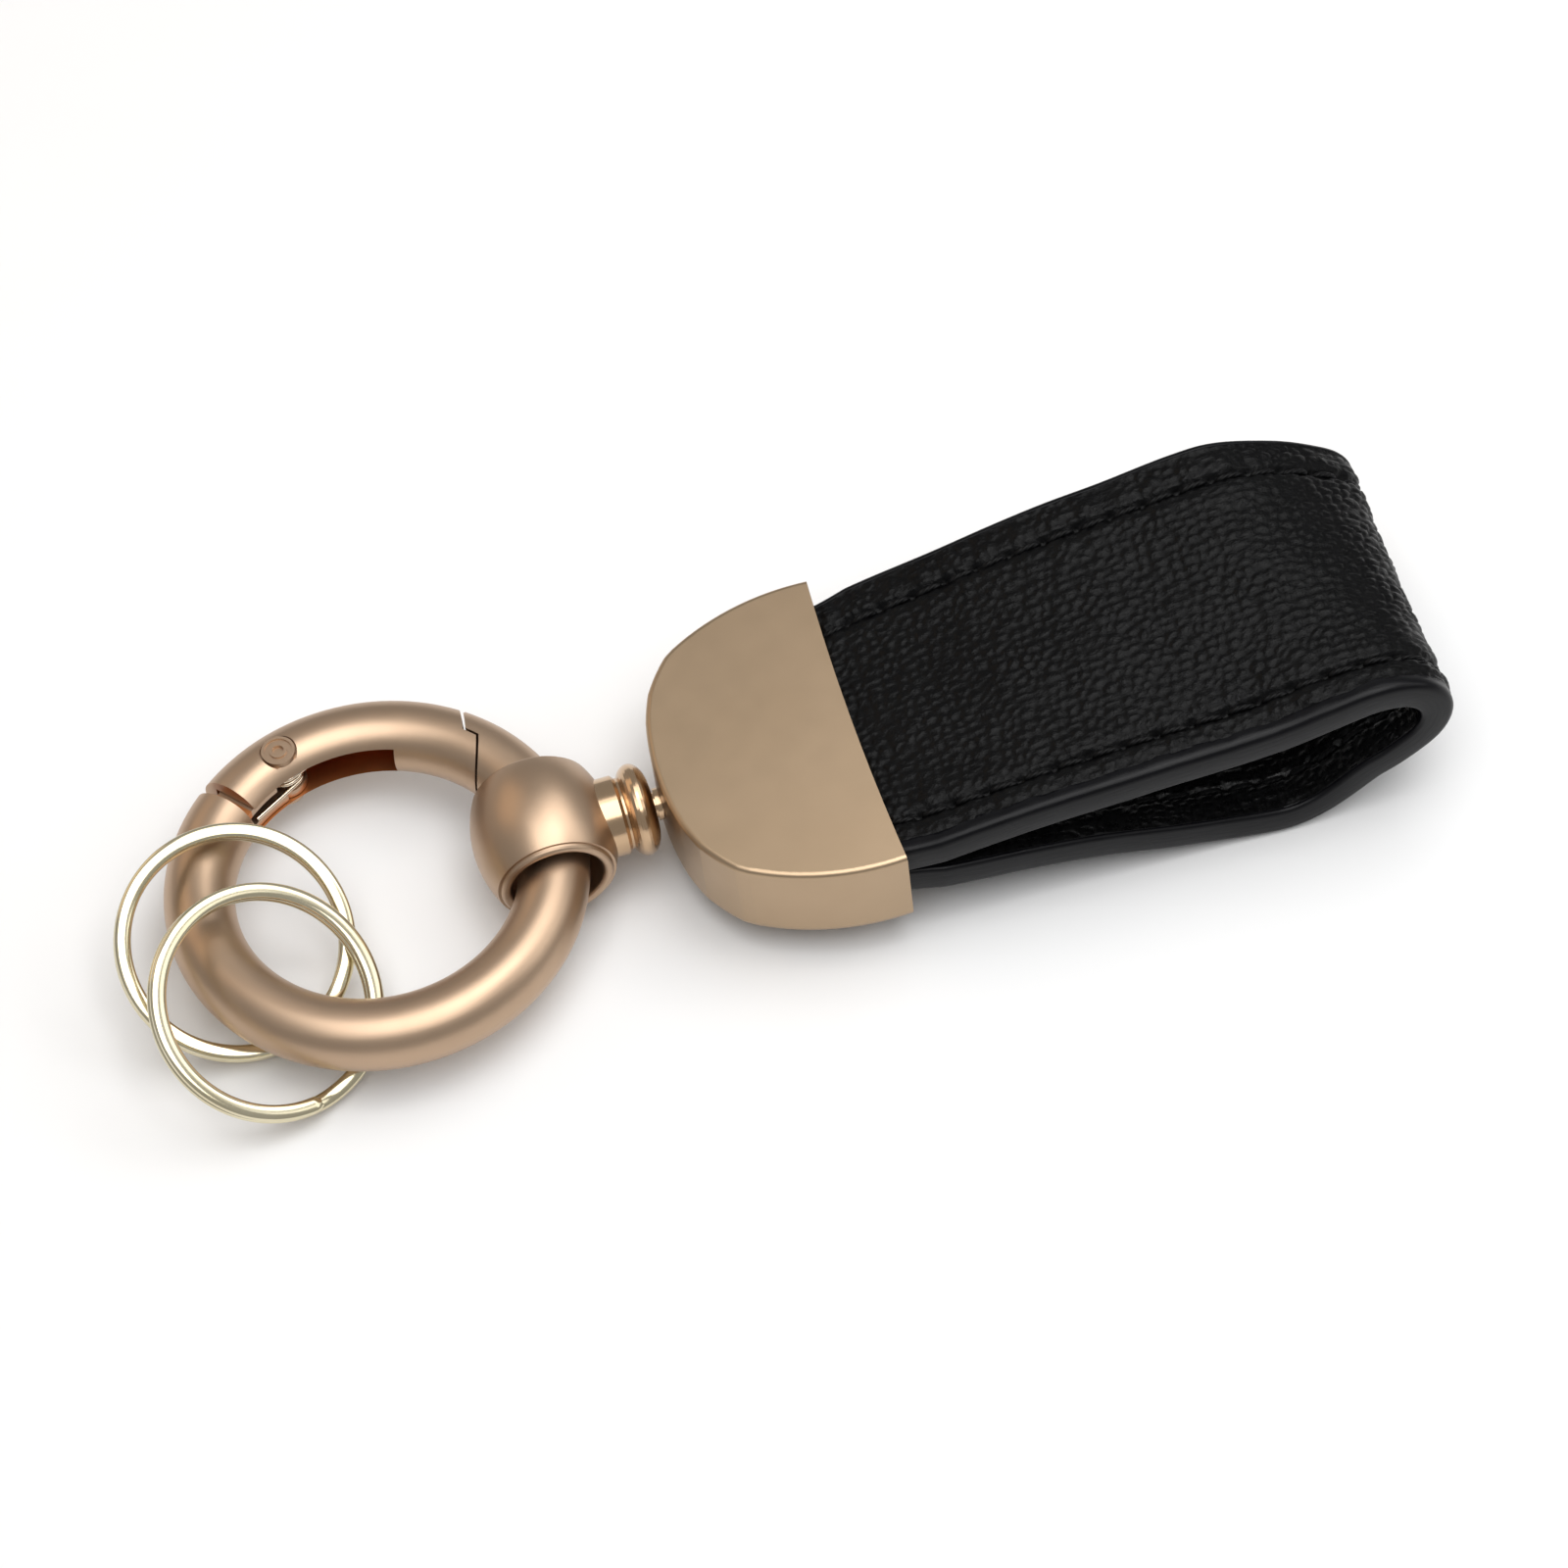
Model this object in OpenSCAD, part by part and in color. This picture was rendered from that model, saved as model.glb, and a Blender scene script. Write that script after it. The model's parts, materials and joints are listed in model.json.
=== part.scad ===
// Wristlet keychain: a spring-gate ring held in a swivel barrel, a metal end cap,
// a folded leather strap, and two split rings threaded on the gate ring.
// Origin: centre of the gate ring. +X runs along the floor to the strap, +Z is up.

/* [Gate ring] */
// Radius of the ring from its centre to the middle of the tube
ring_r = 15; // [14.5:0.1:15.5]
// Radius of the ring's tube
tube_r = 3; // [2.8:0.05:3.1]
// How far the barrel side of the ring is raised, in degrees
ring_tilt = 2; // [0:0.5:3]

/* [Gate] */
// Place of the gate's rivet round the ring, in degrees from the barrel
rivet_angle = 110; // [108:1:112]
// Distance of the rivet from the ring's centre
rivet_at_r = 14.6; // [14.4:0.1:14.8]
// Angle where the gate's tail ends
gate_tail = 131; // [129:1:132]
// Angle where the ring body starts again behind the gate's tail
shoulder = 135; // [134:1:137]
// Angle where the channel on the gate's inner side ends
channel_end = 69; // [66:1:75]
// Height of the channel
channel_h = 3.2; // [3:0.1:3.4]
// Distance from the ring's centre to the channel's floor
channel_r = 16.6; // [16.4:0.1:16.8]
// Reach of the gate's outer nose from its rivet
nose_reach = 15.8; // [15.4:0.1:16]
// Reach of the gate's inner lip from its rivet
lip_reach = 16.9; // [16.6:0.1:16.9]
// Radius of the step between nose and lip
step_r = 15.1; // [14.8:0.1:15.3]
// Gap between the gate and the ring body where they close
close_gap = 0.22; // [0.12:0.02:0.26]

/* [Swivel barrel] */
// Length of the barrel along its bore
barrel_len = 10; // [9.6:0.1:10.2]
// Radius of the barrel at its middle
barrel_r = 6.1; // [6:0.05:6.2]
// Radius of the flat rim at each end
rim_r = 4.9; // [4.7:0.1:4.9]
// Radius of the bore that the gate ring passes through
bore_r = 4; // [3.9:0.05:4.1]
// Radius of the band beside the barrel
band_r = 3.45; // [3.4:0.05:3.5]
// Radius of the rounded knob
knob_r = 4; // [3.8:0.05:4.1]
// Radius of the swivel rivet's shank
shank_r = 1.1; // [1:0.05:1.2]
// Running clearance of the rivets in their holes
run_gap = 0.05; // [0.03:0.01:0.08]

/* [Cap] */
// Distance from the barrel's centre to the cap's nose
nose_x = 10.25; // [10.2:0.05:10.4]
// Length of the cap
cap_len = 17.55; // [17:0.05:18]
// Greatest half width of the cap
cap_half_w = 15.2; // [15:0.1:15.4]
// Height of the cap
cap_h = 9; // [8.8:0.1:9.4]
// Thickness of the cap's walls
cap_wall = 1.2; // [1:0.1:1.2]
// Rounding of the upper edge
top_round = 0.5; // [0.3:0.1:0.6]
// Rounding of the lower edge
low_round = 1.2; // [0.8:0.1:1.3]

/* [Strap] */
// Upward slope of the cap and strap, in degrees
pitch = 2.8; // [2:0.1:3.2]
// Width of the strap
strap_w = 28; // [27.6:0.1:28]
// Thickness of one leg of the strap
strap_t = 2.8; // [2.6:0.1:2.8]
// Thickness of the outer leather
outer_t = 1.1; // [0.9:0.1:1.2]
// Thickness of the lining leather
lining_t = 0.9; // [0.7:0.1:1]
// Thickness of the sealed edge
edge_t = 0.3; // [0.2:0.05:0.4]
// Distance between the two stitch rows
stitch_rows = 21; // [20:0.5:22]
// Length of strap from one stitch to the next
stitch_pitch = 3; // [2.8:0.1:3.4]

/* [Split rings] */
// Outer radius of a split ring
split_r = 10.1; // [9.9:0.1:10.1]
// Width of its wire, measured across the ring
split_w = 1.4; // [1.2:0.1:1.4]
// Height of its two turns together
split_h = 1.6; // [1.4:0.1:1.6]

/* [Hidden] */
$fn = 96;
SATIN = [0.80, 0.63, 0.47];
POLISHED = [0.87, 0.70, 0.50];
PALE_GOLD = [0.90, 0.84, 0.66];
STEEL = [0.70, 0.70, 0.70];
LEATHER = [0.07, 0.07, 0.07];
BOARD = [0.35, 0.30, 0.25];
THREAD = [0.03, 0.03, 0.03];
eps = 0.01;

// Gate ring and gate
rivet_xy = polar(rivet_at_r, rivet_angle);
lip_end = 28;          // angle that the gate's lip never passes
mouth_end = 55;        // angle that the ring body's lip never passes
pin_r = 1;             // gate rivet
rivet_head_r = 1.45;
rivet_seat_r = 1.6;
rivet_seat_z = 2.5;
rivet_top_z = 3.05;
notch_r = 16.6;        // where the closing gap starts to widen
notch_angles = [49.3, 51.5];
tongue_in = 12.7;      // the ring body's two tongue plates
tongue_out = 16.2;
tongue_z = 1.5;
tongue_t = 0.8;
tongue_end_r = 1.9;
tongue_short = 8;      // how far the upper plate stops before the rivet, to clear the spring
spring_wire_r = 0.2;
spring_coil_r = 1.6;
spring_z = [-0.45, 0.75];
spring_start = 301.5;  // where the leg against the ring body leaves the coil
spring_turns = 716;    // in degrees
spring_legs = [4.8, 7.3];

// Barrel and swivel, measured along the axis from the barrel's centre
bore_x = 14.57;        // from the ring's centre, so that the curved tube is centred in the bore
socket_x = 4.85;
groove_x = 7.1;
bulb_mid = 8.25;       // the knob's outline is most of a half ellipse
bulb_half = 1.35;
bulb_from = 35;
knob_end = 9.6;
knob_end_r = 1.9;
chamber_r = 2.6;
chamber_end = 7.8;
head_r = 2.35;
head_x = [6.5, 7.65];
neck_x = [9.8, 10.2];
neck_r = 1.4;
nose_wall = 2;
washer_t = 0.4;
washer_r = 3;
peen_r = 2.2;
peen_t = 0.7;

// Cap outline: circles at the nose, the shoulders and the flanks. Each has its middle's distance
// from the nose, its middle's distance from the middle line, and its radius.
nose_arc = [26, 0, 26];
shoulder_arc = [16.4, 0, 17];
flank_arc = [16, 22 - cap_half_w, 22];
corner_cut = [0, 0, 0.17]; // how much smaller the circles between two of these are than their mean
cap_arcs = [nose_arc, (nose_arc + shoulder_arc) / 2 - corner_cut, shoulder_arc,
            (2 * shoulder_arc + flank_arc) / 3 - corner_cut,
            (shoulder_arc + 2 * flank_arc) / 3 - corner_cut, flank_arc];
cap_circles = [for (a = cap_arcs, side = a[1] > 0 ? [-1, 1] : [1]) [a[0], side * a[1], a[2]]];
mouth_dip = 0.45;
mouth_x = nose_x + cap_len;
screw_x = 20.5;
screw_y = 7;
screw_r = 0.8;
screw_head_r = 1.5;
screw_head_h = 0.6;

// Middle of the strap's thickness, from its upper end in the cap round to its lower end
strap_points = [[14.5, 1.5], [21, 1.5], [27.5, 1.6], [33, 2.9], [40, 4.5], [48, 6.1], [55, 7.1],
                [60.5, 8], [64.5, 7.8], [68.8, 6.2], [72, 4.4], [74.2, 2.7], [75.1, 0.8],
                [74.3, -1], [72.2, -2.2], [69.3, -3.9], [66.4, -5.7], [63.6, -7.1], [60.6, -7.7],
                [55, -6.6], [48, -5.2], [41, -3.7], [34, -2.6], [27.5, -1.6], [21, -1.5],
                [14.5, -1.5]];
strap_steps = 4;
half_t = strap_t / 2;
stitch_len = 2.1;
stitch_r = 0.28;
stitch_sink = 0.14;
stitch_from = 17;      // length of strap hidden in the cap, where no stitch is drawn

// Where each split ring lies: its centre, its lean and the way it leans
split_places = [[[-12.7, -2.1, -0.3], 27, -75], [[-11.5, -9.1, 0.3], 31, -52]];
split_ends = [40, 10]; // where each ring's wire ends

function polar(r, a) = [r * cos(a), r * sin(a)];
function unit(v) = v / norm(v);
// A smooth curve through points a, b, c and d, between b and c
function curve(a, b, c, d, u) = 0.5 * (2 * b + (c - a) * u + (2 * a - 5 * b + 4 * c - d) * u * u
                                       + (3 * b - a - 3 * c + d) * u * u * u);
function smooth(p, n) = let(last = len(p) - 1) [
    for (i = [0 : last - 1], k = [0 : n - 1])
        curve(p[max(i - 1, 0)], p[i], p[i + 1], p[min(i + 2, last)], k / n), p[last]];
strap_line = smooth(strap_points, strap_steps);
// Direction across the strap, away from the inside of the loop, at point i
function outward(i) = let(a = strap_line[max(i - 1, 0)],
                          b = strap_line[min(i + 1, len(strap_line) - 1)],
                          d = unit(b - a)) [-d[1], d[0]];
function shifted(by) = [for (i = [0 : len(strap_line) - 1]) strap_line[i] + by * outward(i)];
function backwards(p) = [for (i = [len(p) - 1 : -1 : 0]) p[i]];
// Length along the strap up to point i
function run(i) = i == 0 ? 0 : run(i - 1) + norm(strap_line[i] - strap_line[i - 1]);
strap_run = [for (i = [0 : len(strap_line) - 1]) run(i)];
strap_total = strap_run[len(strap_run) - 1];
// Point of the strap's line just before length s
function before(s, i = 0) = strap_run[i + 1] >= s ? i : before(s, i + 1);

// Places what follows on the gate ring, whose plane is z = 0 and whose barrel is at angle 0
module on_ring() {
    rotate([0, -ring_tilt, 0]) children();
}

// Places what follows on the swivel axis: x runs from the barrel's centre to the strap
module on_axis() {
    translate([bore_x * cos(ring_tilt), 0, bore_x * sin(ring_tilt)])
        rotate([0, -pitch, 0]) children();
}

module along_x(from, to, r) {
    translate([from, 0, 0]) rotate([0, 90, 0]) cylinder(r = r, h = to - from);
}

module on_rivet() {
    translate([rivet_xy[0], rivet_xy[1], 0]) children();
}

module tube_arc(from, to) {
    rotate([0, 0, from]) rotate_extrude(angle = to - from) translate([ring_r, 0]) circle(r = tube_r);
}

// A strip of the ring between two radii, two heights and two angles
module strip(r1, r2, z1, z2, from, to) {
    rotate([0, 0, from]) rotate_extrude(angle = to - from)
        translate([r1, z1]) square([r2 - r1, z2 - z1]);
}

// Everything on the gate's side of the closing cut; grow moves the cut towards the ring body.
// Both faces are arcs about the rivet, so the gate slides past as it opens.
module gate_side(grow) {
    h = 2 * tube_r + 2;
    translate([0, 0, -h / 2]) {
        on_rivet() cylinder(r = nose_reach + grow, h = h);
        intersection() {
            on_rivet() cylinder(r = lip_reach + grow, h = h);
            cylinder(r = step_r + grow, h = h);
        }
    }
}

// The small V that opens between nose and body at the outside of the ring
module outer_notch() {
    far = ring_r + tube_r + 2;
    translate([0, 0, -tube_r - 1]) linear_extrude(2 * tube_r + 2)
        polygon([polar(notch_r, notch_angles[0]), polar(far, notch_angles[1]),
                 polar(far, mouth_end + 3), polar(notch_r, mouth_end)]);
}

module ring_body() {
    color(SATIN) on_ring() difference() {
        union() {
            difference() {
                tube_arc(shoulder, 360 + mouth_end);
                intersection() {
                    gate_side(close_gap);
                    translate([0, 0, -tube_r - 1]) cube(2 * [ring_r, ring_r, tube_r + 1]);
                }
                outer_notch();
            }
            strip(tongue_in, tongue_out, -tongue_z, tongue_t - tongue_z, rivet_angle + 4, shoulder + 2);
            strip(tongue_in, tongue_out, tongue_z - tongue_t, tongue_z, rivet_angle + tongue_short,
                  shoulder + 2);
            on_rivet() translate([0, 0, -tongue_z]) cylinder(r = tongue_end_r, h = tongue_t);
        }
        on_rivet() cylinder(r = pin_r + run_gap, h = 4 * tongue_z, center = true);
    }
}

module gate() {
    color(SATIN) on_ring() difference() {
        intersection() {
            tube_arc(lip_end, gate_tail);
            gate_side(0);
        }
        strip(ring_r - tube_r - 1, channel_r, -channel_h / 2, channel_h / 2, channel_end,
              gate_tail + 1);
        on_rivet() cylinder(r = pin_r, h = 3 * tube_r, center = true);
        for (side = [0, 1]) mirror([0, 0, side]) on_rivet()
            translate([0, 0, rivet_seat_z]) cylinder(r = rivet_seat_r, h = tube_r);
    }
}

module gate_rivet() {
    rim = 0.25;
    cup_r = 0.5;
    color(POLISHED) on_ring() on_rivet() difference() {
        union() {
            cylinder(r = pin_r, h = 2 * rivet_seat_z + eps, center = true);
            for (side = [0, 1]) mirror([0, 0, side]) translate([0, 0, rivet_seat_z])
                cylinder(r = rivet_head_r, h = rivet_top_z - rivet_seat_z);
        }
        for (side = [0, 1]) mirror([0, 0, side]) {
            translate([0, 0, rivet_top_z - 0.3]) cylinder(r = cup_r, h = 1);
            translate([0, 0, rivet_top_z - 0.15]) difference() {
                cylinder(r = rivet_head_r - rim, h = 1);
                translate([0, 0, -eps]) cylinder(r = cup_r + rim, h = 1.1);
            }
        }
    }
}

// Torsion spring: a coil round the gate's rivet with one leg on the ring body, one on the gate
function spring_turn(a) = let(p = polar(spring_coil_r, a)) [p[0], p[1],
    spring_z[0] + (spring_z[1] - spring_z[0]) * (a - spring_start) / spring_turns];
spring_end = spring_start + spring_turns;
function spring_leg(a, length) = spring_turn(a) + concat(polar(length, a + 90), [0]);
spring_line = concat([spring_leg(spring_start, -spring_legs[0])],
                     [for (k = [0 : 40]) spring_turn(spring_start + spring_turns * k / 40)],
                     [spring_leg(spring_end, spring_legs[1])]);

// A round wire along a list of points
module wire(line, r, sides = 8) {
    last = len(line) - 1;
    rings = [for (i = [0 : last]) let(d = unit(line[min(i + 1, last)] - line[max(i - 1, 0)]),
                                     u = unit(cross([0, 0, 1], d)), v = cross(d, u))
        for (k = [0 : sides - 1]) line[i] + r * (cos(360 * k / sides) * u + sin(360 * k / sides) * v)];
    walls = [for (i = [0 : last - 1], k = [0 : sides - 1]) let(n = (k + 1) % sides)
        [i * sides + k, (i + 1) * sides + k, (i + 1) * sides + n, i * sides + n]];
    polyhedron(rings, concat([[for (k = [0 : sides - 1]) k]], walls,
                             [[for (k = [sides - 1 : -1 : 0]) last * sides + k]]), convexity = 6);
}

module gate_spring() {
    color(STEEL) on_ring() on_rivet() wire(spring_line, spring_wire_r);
}

// A bulging sleeve with a rounded lip at each end of its bore
module barrel() {
    lip_r = (rim_r - bore_r) / 2;
    half = barrel_len / 2;
    side = half - lip_r;
    n = 32;
    bulge = (half * half / (barrel_r - rim_r) + barrel_r - rim_r) / 2;
    outline = [for (k = [0 : n]) let(y = side * (2 * k / n - 1))
        [barrel_r - bulge + sqrt(bulge * bulge - y * y), y]];
    lip = [for (k = [0 : 8]) let(a = 22.5 * k)
        [bore_r + lip_r + lip_r * cos(a), side + lip_r * sin(a)]];
    color(SATIN) difference() {
        translate([bore_x * cos(ring_tilt), 0, bore_x * sin(ring_tilt)]) rotate([-90, 0, 0])
            rotate_extrude() polygon(concat(outline, lip, [for (p = backwards(lip)) [p[0], -p[1]]]));
        on_axis() along_x(socket_x, barrel_r + 1, band_r);
    }
}

// Band, groove and rounded knob in one turned piece, with a chamber for the rivet's head
module swivel_knob() {
    n = 14;
    bulb = [for (k = [0 : n]) let(a = bulb_from + (180 - bulb_from) * k / n)
        [knob_end_r + (knob_r - knob_end_r) * sin(a), bulb_mid - bulb_half * cos(a)]];
    color(POLISHED) on_axis() rotate([0, 90, 0]) difference() {
        rotate_extrude() polygon(concat([[0, socket_x], [band_r, socket_x], [band_r, groove_x - 0.45],
            [bulb[0][0], groove_x - 0.15]], bulb, [[0, knob_end]]));
        translate([0, 0, socket_x - 1]) cylinder(r = chamber_r, h = chamber_end - socket_x + 1);
        cylinder(r = shank_r + run_gap, h = 2 * knob_end);
    }
}

module swivel_rivet() {
    inside = nose_x + nose_wall;
    color(POLISHED) on_axis() {
        along_x(head_x[0], head_x[1], head_r);
        along_x(head_x[0] + eps, inside + washer_t + eps, shank_r);
        along_x(inside + washer_t, inside + washer_t + peen_t, peen_r);
    }
}

module neck_washer() {
    color(POLISHED) on_axis() difference() {
        along_x(neck_x[0], neck_x[1], neck_r);
        along_x(neck_x[0] - 1, neck_x[1] + 1, shank_r);
    }
}

module rivet_washer() {
    inside = nose_x + nose_wall;
    color(STEEL) on_axis() difference() {
        along_x(inside, inside + washer_t, washer_r);
        along_x(inside - 1, inside + 1, shank_r);
    }
}

// A disc with a small rounding at its upper rim and a larger one at its lower rim
module round_disc(r, top, low, h) {
    translate([0, 0, -h / 2]) rotate_extrude($fn = 180) {
        square([r - low, h - top]);
        translate([0, low]) square([r, h - top - low]);
        square([r - max(top, low), h]);
        translate([0, low]) square([r - top, h - low]);
        if (low > 0) translate([r - low, low]) circle(r = low, $fn = 48);
        if (top > 0) translate([r - top, h - top]) circle(r = top, $fn = 48);
    }
}

// The cap's outer shape, or its pocket
module cap_shape(inset, top, low) {
    h = cap_h - 2 * inset;
    translate([nose_x, 0, 0]) intersection() {
        intersection_for (c = cap_circles)
            translate([c[0], c[1], 0]) round_disc(c[2] - inset, top, low, h);
        translate([0, -cap_half_w, -h / 2]) cube([cap_len + 2 * inset, 2 * cap_half_w, h]);
    }
}

module at_screws() {
    for (side = [-1, 1]) translate([screw_x, side * screw_y, -cap_h / 2]) children();
}

module end_cap() {
    mouth_arc = (cap_half_w * cap_half_w / mouth_dip + mouth_dip) / 2;
    color(SATIN) on_axis() difference() {
        cap_shape(0, top_round, low_round);
        translate([mouth_x - mouth_dip + mouth_arc, 0, -cap_h])
            cylinder(r = mouth_arc, h = 2 * cap_h, $fn = 180);
        intersection() {
            cap_shape(cap_wall, 0, 0);
            translate([nose_x + nose_wall, -cap_half_w, -cap_h]) cube(2 * [cap_len, cap_half_w, cap_h]);
        }
        along_x(nose_x - 1, nose_x + nose_wall + 1, shank_r);
        at_screws() {
            translate([0, 0, -eps]) cylinder(r = screw_head_r + 0.1, h = screw_head_h + eps);
            cylinder(r = screw_r + run_gap, h = 2 * cap_wall);
        }
    }
}

module cap_screws() {
    slot = [0.35, 2 * screw_head_r, 0.3];
    color(STEEL) on_axis() at_screws() difference() {
        union() {
            cylinder(r = screw_head_r, h = screw_head_h);
            cylinder(r = screw_r, h = cap_h / 2 + 1);
        }
        translate([-slot[0] / 2, -slot[1] / 2, -eps]) cube(slot);
    }
}

// One layer of the strap between two distances from the middle of its thickness
module layer(from, to, width) {
    rotate([90, 0, 0]) linear_extrude(width, center = true)
        polygon(concat(shifted(to), backwards(shifted(from))));
}

// Everything past the cap's mouth
module past_mouth(gap) {
    translate([mouth_x + gap, -strap_w, -strap_w]) cube(2 * strap_w * [2, 1, 1]);
}

// A full layer, trimmed to the cap's pocket and drilled for the screws
module screwed_layer(from, to) {
    on_axis() difference() {
        intersection() {
            layer(from, to, strap_w - 2 * edge_t);
            union() {
                cap_shape(cap_wall + 0.05, 0, 0);
                past_mouth(0);
            }
        }
        at_screws() cylinder(r = screw_r, h = cap_h / 2 + 1);
    }
}

module strap_outer() {
    color(LEATHER) screwed_layer(half_t - outer_t, half_t);
}

module strap_core() {
    color(BOARD) screwed_layer(-half_t + lining_t, half_t - outer_t);
}

module strap_lining() {
    color(LEATHER) screwed_layer(-half_t, -half_t + lining_t);
}

module edge_seal(side) {
    color(THREAD) on_axis() intersection() {
        translate([0, side * (strap_w - edge_t) / 2, 0]) layer(-half_t, half_t, edge_t);
        past_mouth(0.05);
    }
}

// Stitches on both faces of the strap, half sunk into the leather
module stitch_row(side) {
    count = floor((strap_total - 2 * stitch_from) / stitch_pitch);
    first = (strap_total - count * stitch_pitch) / 2;
    color(THREAD) on_axis() for (k = [0 : count]) {
        s = first + k * stitch_pitch;
        i = before(s);
        a = strap_line[i];
        b = strap_line[i + 1];
        at = a + (b - a) * (s - strap_run[i]) / (strap_run[i + 1] - strap_run[i]);
        across = [-(b - a)[1], (b - a)[0]] / norm(b - a);
        for (face = [-1, 1]) {
            spot = at + face * (half_t - stitch_sink) * across;
            translate([spot[0], side * stitch_rows / 2, spot[1]])
                rotate([0, 90 - atan2((b - a)[1], (b - a)[0]), 0])
                    cylinder(r = stitch_r, h = stitch_len, center = true, $fn = 16);
        }
    }
}

// A flat wire wound twice, drawn as one ring with a groove where its turns meet
module split_ring(number) {
    place = split_places[number];
    ri = split_r - split_w;
    top = split_h / 2;
    corner = 0.25;
    groove = 0.15;
    cut = [split_w + 1, 0.35, top];
    color(PALE_GOLD) translate(place[0]) rotate([0, place[1], place[2]]) difference() {
        rotate_extrude() polygon([[ri + corner, -top], [split_r - corner, -top],
            [split_r, -top + corner], [split_r, -groove], [split_r - groove, 0], [split_r, groove],
            [split_r, top - corner], [split_r - corner, top], [ri + corner, top], [ri, top - corner],
            [ri, groove], [ri + groove, 0], [ri, -groove], [ri, -top + corner]]);
        rotate([0, 0, split_ends[number]]) translate([ri - 0.5, 0, 0.06]) cube(cut);
        rotate([0, 0, split_ends[number] + 24]) translate([ri - 0.5, 0, -top - 0.06]) cube(cut);
    }
}

ring_body();
gate();
gate_rivet();
gate_spring();
barrel();
swivel_knob();
swivel_rivet();
neck_washer();
rivet_washer();
end_cap();
cap_screws();
strap_outer();
strap_core();
strap_lining();
edge_seal(1);  // edge_seal_left
edge_seal(-1);  // edge_seal_right
stitch_row(1);  // stitch_row_left
stitch_row(-1);  // stitch_row_right
split_ring(0);  // split_ring_1
split_ring(1);  // split_ring_2
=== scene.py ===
"""The looks of the wristlet keychain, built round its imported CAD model.

Everything is in the CAD frame and in metres; MM turns the object's millimetres into metres.
The strap is shaped in its own coordinates: along its length, across its width, and out of its middle.
"""

import json
import math

import bpy
import numpy as np
from mathutils import Matrix, Vector


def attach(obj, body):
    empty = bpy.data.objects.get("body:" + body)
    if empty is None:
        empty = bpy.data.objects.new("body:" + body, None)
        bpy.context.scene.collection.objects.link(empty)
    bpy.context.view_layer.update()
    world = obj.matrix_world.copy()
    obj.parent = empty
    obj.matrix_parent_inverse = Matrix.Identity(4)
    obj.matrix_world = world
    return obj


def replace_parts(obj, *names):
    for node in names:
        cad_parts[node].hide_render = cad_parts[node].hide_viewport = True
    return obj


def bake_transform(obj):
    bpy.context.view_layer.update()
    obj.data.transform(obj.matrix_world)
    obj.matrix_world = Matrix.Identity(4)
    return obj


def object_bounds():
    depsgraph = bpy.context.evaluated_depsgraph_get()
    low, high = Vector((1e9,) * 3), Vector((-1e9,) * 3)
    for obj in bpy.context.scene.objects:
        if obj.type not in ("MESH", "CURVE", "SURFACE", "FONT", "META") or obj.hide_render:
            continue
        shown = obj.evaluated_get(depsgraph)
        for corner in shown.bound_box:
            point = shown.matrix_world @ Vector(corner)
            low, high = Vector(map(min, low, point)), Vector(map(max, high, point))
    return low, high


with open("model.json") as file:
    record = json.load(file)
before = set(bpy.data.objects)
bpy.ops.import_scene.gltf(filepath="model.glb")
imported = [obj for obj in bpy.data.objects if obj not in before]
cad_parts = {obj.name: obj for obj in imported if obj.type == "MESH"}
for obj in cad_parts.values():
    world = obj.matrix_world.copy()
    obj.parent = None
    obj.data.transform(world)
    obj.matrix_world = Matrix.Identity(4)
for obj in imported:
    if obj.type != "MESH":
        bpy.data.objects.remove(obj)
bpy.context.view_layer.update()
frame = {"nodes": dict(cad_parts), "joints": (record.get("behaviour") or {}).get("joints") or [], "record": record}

MM = 0.001
SEED = 7
# Faces of the CAD nodes that meet at more than this many degrees keep a sharp edge
CAD_SHARP_ANGLE = 22
joints = {j["name"]: j for j in frame["joints"]}
mounts = {m["name"]: m for m in frame["record"]["mounts"]}

# Camera: angles in degrees, the lens and the distance in millimetres
CAMERA_AIM = (35.3, -1.15, 0.9)
CAMERA_AZIMUTH = -13.0
CAMERA_ELEVATION = 55.1
CAMERA_ROLL = -3.6
CAMERA_DISTANCE = 433
CAMERA_LENS = 117.5
SENSOR_WIDTH = 36

# Gate ring: the radius of its tube's middle line, and the tube's own radius
RING_R = 15
TUBE_R = 3

# Split rings: the radius of the wire's middle line, half its width and thickness, and how far each
# of the two turns lies above or below the ring's middle
SPLIT_R = 9.4
WIRE_HALF_W = 0.7
WIRE_HALF_H = 0.385
SPLIT_RISE = 0.4

# Strap, in millimetres. Points of the two profiles are x from the barrel's centre along the swivel
# axis, and height above that axis.
NEAR_PROFILE = [
    (24, 1.5), (28, 1.55), (34, 2.3), (41.3, 3), (50, 3.4), (56, 3.6), (61, 4), (65.5, 5),
    (69.2, 5.6), (72.2, 5.1), (74, 3.5), (74.5, 1.4), (73.6, -0.9), (71, -3), (68.6, -4.3),
    (66.4, -6), (64.2, -7.3), (62, -7.9), (59.7, -7.8), (55, -6.9), (45.8, -4.4),
    (41.2, -3.4), (34, -2.3), (28, -1.6), (24, -1.5),
]
FAR_PROFILE = [
    (24, 1.5), (28, 1.5), (33, 2.5), (39, 3.9), (48, 6), (54, 6.8), (60.5, 7.9), (64.2, 7.9),
    (69, 6), (72.6, 3.7), (74.4, 2.1), (75.1, 0.2), (73.8, -1.9), (71.8, -2.9), (68.5, -4.9),
    (66, -6.1), (63.9, -7.1), (60.8, -7.7), (55, -6.6), (48, -5.2), (41, -3.4), (34, -2.3),
    (28, -1.6), (24, -1.5),
]
# Its rough length all the way round, which only sets how fine its mesh is
STRAP_LENGTH = 108
HALF_W = 14
HALF_T = 1.45
CAP_MOUTH = 27.8
# Where the board in the middle meets the lining and the outer leather
BOARD_LOW = -0.5
BOARD_TOP = 0.35
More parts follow.
